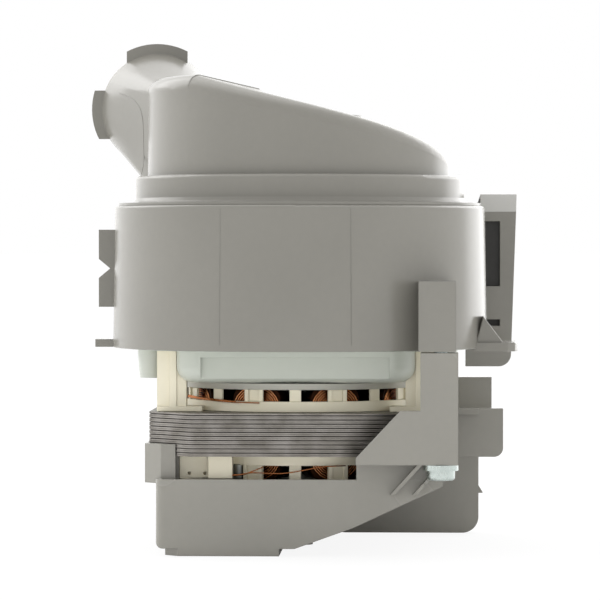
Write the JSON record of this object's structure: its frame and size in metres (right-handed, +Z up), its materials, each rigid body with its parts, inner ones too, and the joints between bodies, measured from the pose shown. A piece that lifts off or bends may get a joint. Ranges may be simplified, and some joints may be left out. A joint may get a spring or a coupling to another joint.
{
  "type": "dishwasher heater pump",
  "caption": "Circulation pump with a wet-rotor motor below, a heated chamber in a round drum and a spiral head with a central inlet and a round side outlet.",
  "frame": {"origin": "on the rotor's axis, at the mouth of the blind socket under the motor cap, level with the surface that the pump stands on", "axes": "+Z up along the rotor's axis, +Y the way the round outlet points, +X towards the tall terminal carrier"},
  "size_m": [0.1425, 0.1267, 0.1649],
  "materials": {
    "grey_plastic": "satin moulded polypropylene, mid grey",
    "white_plastic": "translucent white moulding",
    "cream_plastic": "natural cream polyamide",
    "black_plastic": "black glass-filled plastic",
    "lamination_steel": "stacked electrical sheets",
    "stainless_steel": "bright stainless steel",
    "copper_wire": "enamelled copper wire",
    "seal_rubber": "black rubber",
    "zinc_steel": "zinc-plated steel",
    "magnet": "moulded ferrite magnet",
    "carbon": "dense carbon graphite",
    "contact_metal": "tin-plated brass"
  },
  "bodies": {
    "housing": {"pump_head": "grey_plastic", "drum_jacket": "grey_plastic", "motor_cap": "grey_plastic", "terminal_carrier": "grey_plastic", "terminal_box": "grey_plastic", "rotor_can": "white_plastic", "upper_insulator": "cream_plastic", "lower_insulator": "cream_plastic", "motor_connector": "cream_plastic", "terminal_block": "black_plastic", "diffuser": "black_plastic", "bearing_plate": "black_plastic", "suction_tube": "black_plastic", "stator_core": "lamination_steel", "heater_tube": "stainless_steel", "heating_element": "stainless_steel", "coil_1": "copper_wire", "coil_2": "copper_wire", "coil_3": "copper_wire", "coil_4": "copper_wire", "coil_5": "copper_wire", "coil_6": "copper_wire", "coil_7": "copper_wire", "coil_8": "copper_wire", "coil_9": "copper_wire", "winding_leads": "copper_wire", "head_seal": "seal_rubber", "flange_seal": "seal_rubber", "cap_screws": "zinc_steel", "can_screws": "zinc_steel", "temperature_sensor": "zinc_steel", "thermal_fuses": "zinc_steel", "front_bearing": "carbon", "rear_bearing": "carbon", "heater_terminals": "contact_metal", "connector_pins": "contact_metal"},
    "rotor": {"shaft": "stainless_steel", "rotor_hub": "magnet", "rotor_magnet": "magnet", "impeller": "black_plastic", "impeller_shroud": "black_plastic", "thrust_washers": "carbon"}
  },
  "joints": [
    {"name": "rotor_spin", "type": "hinge", "parent": "housing", "child": "rotor", "pos_m": [0, 0, 0.04], "axis": [0, 0, 1], "continuous": true}
  ]
}
